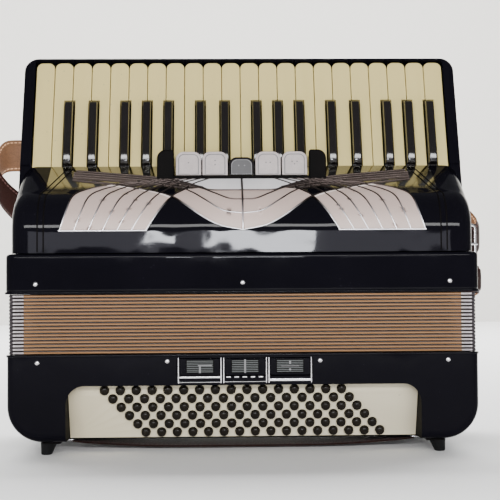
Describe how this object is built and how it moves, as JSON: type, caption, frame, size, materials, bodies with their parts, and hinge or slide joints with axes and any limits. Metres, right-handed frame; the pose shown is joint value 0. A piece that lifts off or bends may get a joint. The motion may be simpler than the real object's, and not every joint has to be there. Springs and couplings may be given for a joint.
{
  "type": "piano accordion",
  "caption": "Black piano accordion standing on its bass side, with a sloping keyboard, ribbed grille, folded bellows, slanted button board and leather straps.",
  "frame": {"origin": "middle of the bounding box at the base, on the plane of the feet", "axes": "+X along the keyboard towards its low notes, +Y from the grille to the player, +Z from the bass side up to the keyboard"},
  "size_m": [0.5762, 0.2786, 0.415],
  "materials": {
    "black_celluloid": "polished black celluloid over wood",
    "key_ivory": "aged cream celluloid, satin gloss",
    "key_ebony": "polished black",
    "axle_steel": "drawn steel rod",
    "tab_pearl": "pearl grey, satin",
    "tab_black": "black, satin",
    "bellows_tape": "gold-brown woven tape on folded card",
    "board_ivory": "ivory celluloid sheet",
    "button_black": "polished domed buttons",
    "strap_leather": "brown grained leather, tan inside",
    "end_plate_black": "black lacquered cover with black feet",
    "chrome_trim": "nickel-plated",
    "reed_wood": "bare spruce and maple"
  },
  "bodies": {
    "bass_side": {"bass_case": "black_celluloid", "bass_end_plate": "end_plate_black", "button_board": "board_ivory", "bellows": "bellows_tape", "bass_strap": "strap_leather"},
    "treble_side": {"treble_case": "black_celluloid", "grille_cover": "black_celluloid", "keyboard_frame": "black_celluloid", "key_axle": "axle_steel", "treble_reed_block": "reed_wood", "register_housing": "black_celluloid", "shoulder_strap_left": "strap_leather", "shoulder_strap_right": "strap_leather"},
    "key_white_01": {"key_white_01": "key_ivory"},
    "key_white_02": {"key_white_02": "key_ivory"},
    "key_white_03": {"key_white_03": "key_ivory"},
    "key_white_04": {"key_white_04": "key_ivory"},
    "key_white_05": {"key_white_05": "key_ivory"},
    "key_white_06": {"key_white_06": "key_ivory"},
    "key_white_07": {"key_white_07": "key_ivory"},
    "key_white_08": {"key_white_08": "key_ivory"},
    "key_white_09": {"key_white_09": "key_ivory"},
    "key_white_10": {"key_white_10": "key_ivory"},
    "key_white_11": {"key_white_11": "key_ivory"},
    "key_white_12": {"key_white_12": "key_ivory"},
    "key_white_13": {"key_white_13": "key_ivory"},
    "key_white_14": {"key_white_14": "key_ivory"},
    "key_white_15": {"key_white_15": "key_ivory"},
    "key_white_16": {"key_white_16": "key_ivory"},
    "key_white_17": {"key_white_17": "key_ivory"},
    "key_white_18": {"key_white_18": "key_ivory"},
    "key_white_19": {"key_white_19": "key_ivory"},
    "key_white_20": {"key_white_20": "key_ivory"},
    "key_white_21": {"key_white_21": "key_ivory"},
    "key_white_22": {"key_white_22": "key_ivory"},
    "key_black_01": {"key_black_01": "key_ebony"},
    "key_black_02": {"key_black_02": "key_ebony"},
    "key_black_03": {"key_black_03": "key_ebony"},
    "key_black_04": {"key_black_04": "key_ebony"},
    "key_black_05": {"key_black_05": "key_ebony"},
    "key_black_06": {"key_black_06": "key_ebony"},
    "key_black_07": {"key_black_07": "key_ebony"},
    "key_black_08": {"key_black_08": "key_ebony"},
    "key_black_09": {"key_black_09": "key_ebony"},
    "key_black_10": {"key_black_10": "key_ebony"},
    "key_black_11": {"key_black_11": "key_ebony"},
    "key_black_12": {"key_black_12": "key_ebony"},
    "key_black_13": {"key_black_13": "key_ebony"},
    "key_black_14": {"key_black_14": "key_ebony"},
    "key_black_15": {"key_black_15": "key_ebony"},
    "register_tab_1": {"register_tab_1": "tab_pearl"},
    "register_tab_2": {"register_tab_2": "tab_pearl"},
    "register_tab_master": {"register_tab_master": "tab_black"},
    "register_tab_3": {"register_tab_3": "tab_pearl"},
    "register_tab_4": {"register_tab_4": "tab_pearl"},
    "bass_register_1": {"bass_register_1": "tab_black"},
    "bass_register_2": {"bass_register_2": "tab_black"},
    "bass_register_3": {"bass_register_3": "tab_black"},
    "bass_buttons": {"bass_buttons": "button_black"},
    "air_button": {"air_button": "chrome_trim"}
  },
  "joints": [
    {"name": "bellows_draw", "type": "slide", "parent": "bass_side", "child": "treble_side", "axis": [0, 0, 1], "range_m": [0, 0.3], "deforming": ["bellows"]},
    {"name": "key_white_01_press", "type": "hinge", "parent": "treble_side", "child": "key_white_01", "pos_m": [0.00126, -0.06338, 0.27803], "axis": [-1, 0, 0], "range_deg": [0, 2.4], "stiffness_Nm_per_rad": 1.2, "springref_deg": -2.86},
    {"name": "key_white_02_press", "type": "hinge", "parent": "treble_side", "child": "key_white_02", "pos_m": [0.00126, -0.06338, 0.27803], "axis": [-1, 0, 0], "range_deg": [0, 2.4], "stiffness_Nm_per_rad": 1.2, "springref_deg": -2.86},
    {"name": "key_white_03_press", "type": "hinge", "parent": "treble_side", "child": "key_white_03", "pos_m": [0.00126, -0.06338, 0.27803], "axis": [-1, 0, 0], "range_deg": [0, 2.4], "stiffness_Nm_per_rad": 1.2, "springref_deg": -2.86},
    {"name": "key_white_04_press", "type": "hinge", "parent": "treble_side", "child": "key_white_04", "pos_m": [0.00126, -0.06338, 0.27803], "axis": [-1, 0, 0], "range_deg": [0, 2.4], "stiffness_Nm_per_rad": 1.2, "springref_deg": -2.86},
    {"name": "key_white_05_press", "type": "hinge", "parent": "treble_side", "child": "key_white_05", "pos_m": [0.00126, -0.06338, 0.27803], "axis": [-1, 0, 0], "range_deg": [0, 2.4], "stiffness_Nm_per_rad": 1.2, "springref_deg": -2.86},
    {"name": "key_white_06_press", "type": "hinge", "parent": "treble_side", "child": "key_white_06", "pos_m": [0.00126, -0.06338, 0.27803], "axis": [-1, 0, 0], "range_deg": [0, 2.4], "stiffness_Nm_per_rad": 1.2, "springref_deg": -2.86},
    {"name": "key_white_07_press", "type": "hinge", "parent": "treble_side", "child": "key_white_07", "pos_m": [0.00126, -0.06338, 0.27803], "axis": [-1, 0, 0], "range_deg": [0, 2.4], "stiffness_Nm_per_rad": 1.2, "springref_deg": -2.86},
    {"name": "key_white_08_press", "type": "hinge", "parent": "treble_side", "child": "key_white_08", "pos_m": [0.00126, -0.06338, 0.27803], "axis": [-1, 0, 0], "range_deg": [0, 2.4], "stiffness_Nm_per_rad": 1.2, "springref_deg": -2.86},
    {"name": "key_white_09_press", "type": "hinge", "parent": "treble_side", "child": "key_white_09", "pos_m": [0.00126, -0.06338, 0.27803], "axis": [-1, 0, 0], "range_deg": [0, 2.4], "stiffness_Nm_per_rad": 1.2, "springref_deg": -2.86},
    {"name": "key_white_10_press", "type": "hinge", "parent": "treble_side", "child": "key_white_10", "pos_m": [0.00126, -0.06338, 0.27803], "axis": [-1, 0, 0], "range_deg": [0, 2.4], "stiffness_Nm_per_rad": 1.2, "springref_deg": -2.86},
    {"name": "key_white_11_press", "type": "hinge", "parent": "treble_side", "child": "key_white_11", "pos_m": [0.00126, -0.06338, 0.27803], "axis": [-1, 0, 0], "range_deg": [0, 2.4], "stiffness_Nm_per_rad": 1.2, "springref_deg": -2.86},
    {"name": "key_white_12_press", "type": "hinge", "parent": "treble_side", "child": "key_white_12", "pos_m": [0.00126, -0.06338, 0.27803], "axis": [-1, 0, 0], "range_deg": [0, 2.4], "stiffness_Nm_per_rad": 1.2, "springref_deg": -2.86},
    {"name": "key_white_13_press", "type": "hinge", "parent": "treble_side", "child": "key_white_13", "pos_m": [0.00126, -0.06338, 0.27803], "axis": [-1, 0, 0], "range_deg": [0, 2.4], "stiffness_Nm_per_rad": 1.2, "springref_deg": -2.86},
    {"name": "key_white_14_press", "type": "hinge", "parent": "treble_side", "child": "key_white_14", "pos_m": [0.00126, -0.06338, 0.27803], "axis": [-1, 0, 0], "range_deg": [0, 2.4], "stiffness_Nm_per_rad": 1.2, "springref_deg": -2.86},
    {"name": "key_white_15_press", "type": "hinge", "parent": "treble_side", "child": "key_white_15", "pos_m": [0.00126, -0.06338, 0.27803], "axis": [-1, 0, 0], "range_deg": [0, 2.4], "stiffness_Nm_per_rad": 1.2, "springref_deg": -2.86},
    {"name": "key_white_16_press", "type": "hinge", "parent": "treble_side", "child": "key_white_16", "pos_m": [0.00126, -0.06338, 0.27803], "axis": [-1, 0, 0], "range_deg": [0, 2.4], "stiffness_Nm_per_rad": 1.2, "springref_deg": -2.86},
    {"name": "key_white_17_press", "type": "hinge", "parent": "treble_side", "child": "key_white_17", "pos_m": [0.00126, -0.06338, 0.27803], "axis": [-1, 0, 0], "range_deg": [0, 2.4], "stiffness_Nm_per_rad": 1.2, "springref_deg": -2.86},
    {"name": "key_white_18_press", "type": "hinge", "parent": "treble_side", "child": "key_white_18", "pos_m": [0.00126, -0.06338, 0.27803], "axis": [-1, 0, 0], "range_deg": [0, 2.4], "stiffness_Nm_per_rad": 1.2, "springref_deg": -2.86},
    {"name": "key_white_19_press", "type": "hinge", "parent": "treble_side", "child": "key_white_19", "pos_m": [0.00126, -0.06338, 0.27803], "axis": [-1, 0, 0], "range_deg": [0, 2.4], "stiffness_Nm_per_rad": 1.2, "springref_deg": -2.86},
    {"name": "key_white_20_press", "type": "hinge", "parent": "treble_side", "child": "key_white_20", "pos_m": [0.00126, -0.06338, 0.27803], "axis": [-1, 0, 0], "range_deg": [0, 2.4], "stiffness_Nm_per_rad": 1.2, "springref_deg": -2.86},
    {"name": "key_white_21_press", "type": "hinge", "parent": "treble_side", "child": "key_white_21", "pos_m": [0.00126, -0.06338, 0.27803], "axis": [-1, 0, 0], "range_deg": [0, 2.4], "stiffness_Nm_per_rad": 1.2, "springref_deg": -2.86},
    {"name": "key_white_22_press", "type": "hinge", "parent": "treble_side", "child": "key_white_22", "pos_m": [0.00126, -0.06338, 0.27803], "axis": [-1, 0, 0], "range_deg": [0, 2.4], "stiffness_Nm_per_rad": 1.2, "springref_deg": -2.86},
    {"name": "key_black_01_press", "type": "hinge", "parent": "treble_side", "child": "key_black_01", "pos_m": [0.00126, -0.06338, 0.27803], "axis": [-1, 0, 0], "range_deg": [0, 2.4], "stiffness_Nm_per_rad": 1, "springref_deg": -2.86},
    {"name": "key_black_02_press", "type": "hinge", "parent": "treble_side", "child": "key_black_02", "pos_m": [0.00126, -0.06338, 0.27803], "axis": [-1, 0, 0], "range_deg": [0, 2.4], "stiffness_Nm_per_rad": 1, "springref_deg": -2.86},
    {"name": "key_black_03_press", "type": "hinge", "parent": "treble_side", "child": "key_black_03", "pos_m": [0.00126, -0.06338, 0.27803], "axis": [-1, 0, 0], "range_deg": [0, 2.4], "stiffness_Nm_per_rad": 1, "springref_deg": -2.86},
    {"name": "key_black_04_press", "type": "hinge", "parent": "treble_side", "child": "key_black_04", "pos_m": [0.00126, -0.06338, 0.27803], "axis": [-1, 0, 0], "range_deg": [0, 2.4], "stiffness_Nm_per_rad": 1, "springref_deg": -2.86},
    {"name": "key_black_05_press", "type": "hinge", "parent": "treble_side", "child": "key_black_05", "pos_m": [0.00126, -0.06338, 0.27803], "axis": [-1, 0, 0], "range_deg": [0, 2.4], "stiffness_Nm_per_rad": 1, "springref_deg": -2.86},
    {"name": "key_black_06_press", "type": "hinge", "parent": "treble_side", "child": "key_black_06", "pos_m": [0.00126, -0.06338, 0.27803], "axis": [-1, 0, 0], "range_deg": [0, 2.4], "stiffness_Nm_per_rad": 1, "springref_deg": -2.86},
    {"name": "key_black_07_press", "type": "hinge", "parent": "treble_side", "child": "key_black_07", "pos_m": [0.00126, -0.06338, 0.27803], "axis": [-1, 0, 0], "range_deg": [0, 2.4], "stiffness_Nm_per_rad": 1, "springref_deg": -2.86},
    {"name": "key_black_08_press", "type": "hinge", "parent": "treble_side", "child": "key_black_08", "pos_m": [0.00126, -0.06338, 0.27803], "axis": [-1, 0, 0], "range_deg": [0, 2.4], "stiffness_Nm_per_rad": 1, "springref_deg": -2.86},
    {"name": "key_black_09_press", "type": "hinge", "parent": "treble_side", "child": "key_black_09", "pos_m": [0.00126, -0.06338, 0.27803], "axis": [-1, 0, 0], "range_deg": [0, 2.4], "stiffness_Nm_per_rad": 1, "springref_deg": -2.86},
    {"name": "key_black_10_press", "type": "hinge", "parent": "treble_side", "child": "key_black_10", "pos_m": [0.00126, -0.06338, 0.27803], "axis": [-1, 0, 0], "range_deg": [0, 2.4], "stiffness_Nm_per_rad": 1, "springref_deg": -2.86},
    {"name": "key_black_11_press", "type": "hinge", "parent": "treble_side", "child": "key_black_11", "pos_m": [0.00126, -0.06338, 0.27803], "axis": [-1, 0, 0], "range_deg": [0, 2.4], "stiffness_Nm_per_rad": 1, "springref_deg": -2.86},
    {"name": "key_black_12_press", "type": "hinge", "parent": "treble_side", "child": "key_black_12", "pos_m": [0.00126, -0.06338, 0.27803], "axis": [-1, 0, 0], "range_deg": [0, 2.4], "stiffness_Nm_per_rad": 1, "springref_deg": -2.86},
    {"name": "key_black_13_press", "type": "hinge", "parent": "treble_side", "child": "key_black_13", "pos_m": [0.00126, -0.06338, 0.27803], "axis": [-1, 0, 0], "range_deg": [0, 2.4], "stiffness_Nm_per_rad": 1, "springref_deg": -2.86},
    {"name": "key_black_14_press", "type": "hinge", "parent": "treble_side", "child": "key_black_14", "pos_m": [0.00126, -0.06338, 0.27803], "axis": [-1, 0, 0], "range_deg": [0, 2.4], "stiffness_Nm_per_rad": 1, "springref_deg": -2.86},
    {"name": "key_black_15_press", "type": "hinge", "parent": "treble_side", "child": "key_black_15", "pos_m": [0.00126, -0.06338, 0.27803], "axis": [-1, 0, 0], "range_deg": [0, 2.4], "stiffness_Nm_per_rad": 1, "springref_deg": -2.86},
    {"name": "register_tab_1_rock", "type": "hinge", "parent": "treble_side", "child": "register_tab_1", "pos_m": [-0.05374, -0.08932, 0.2816], "axis": [-1, 0, 0], "range_deg": [0, 8], "stiffness_Nm_per_rad": 0.2, "springref_deg": -5.73},
    {"name": "register_tab_2_rock", "type": "hinge", "parent": "treble_side", "child": "register_tab_2", "pos_m": [-0.02624, -0.08932, 0.2816], "axis": [-1, 0, 0], "range_deg": [0, 8], "stiffness_Nm_per_rad": 0.2, "springref_deg": -5.73},
    {"name": "register_tab_master_rock", "type": "hinge", "parent": "treble_side", "child": "register_tab_master", "pos_m": [0.00126, -0.08932, 0.2816], "axis": [-1, 0, 0], "range_deg": [0, 8], "stiffness_Nm_per_rad": 0.2, "springref_deg": -5.73},
    {"name": "register_tab_3_rock", "type": "hinge", "parent": "treble_side", "child": "register_tab_3", "pos_m": [0.02876, -0.08932, 0.2816], "axis": [-1, 0, 0], "range_deg": [0, 8], "stiffness_Nm_per_rad": 0.2, "springref_deg": -5.73},
    {"name": "register_tab_4_rock", "type": "hinge", "parent": "treble_side", "child": "register_tab_4", "pos_m": [0.05626, -0.08932, 0.2816], "axis": [-1, 0, 0], "range_deg": [0, 8], "stiffness_Nm_per_rad": 0.2, "springref_deg": -5.73},
    {"name": "bass_register_1_press", "type": "slide", "parent": "bass_side", "child": "bass_register_1", "axis": [0, 1, 0], "range_m": [0, 0.002], "stiffness_N_per_m": 400, "springref_m": -0.002},
    {"name": "bass_register_2_press", "type": "slide", "parent": "bass_side", "child": "bass_register_2", "axis": [0, 1, 0], "range_m": [0, 0.002], "stiffness_N_per_m": 400, "springref_m": -0.002},
    {"name": "bass_register_3_press", "type": "slide", "parent": "bass_side", "child": "bass_register_3", "axis": [0, 1, 0], "range_m": [0, 0.002], "stiffness_N_per_m": 400, "springref_m": -0.002},
    {"name": "bass_buttons_press", "type": "slide", "parent": "bass_side", "child": "bass_buttons", "axis": [0, 0.9342, 0.3567], "range_m": [0, 0.0035], "stiffness_N_per_m": 900, "springref_m": -0.003},
    {"name": "air_button_press", "type": "slide", "parent": "bass_side", "child": "air_button", "axis": [0, 0, 1], "range_m": [0, 0.003], "stiffness_N_per_m": 400, "springref_m": -0.003}
  ]
}
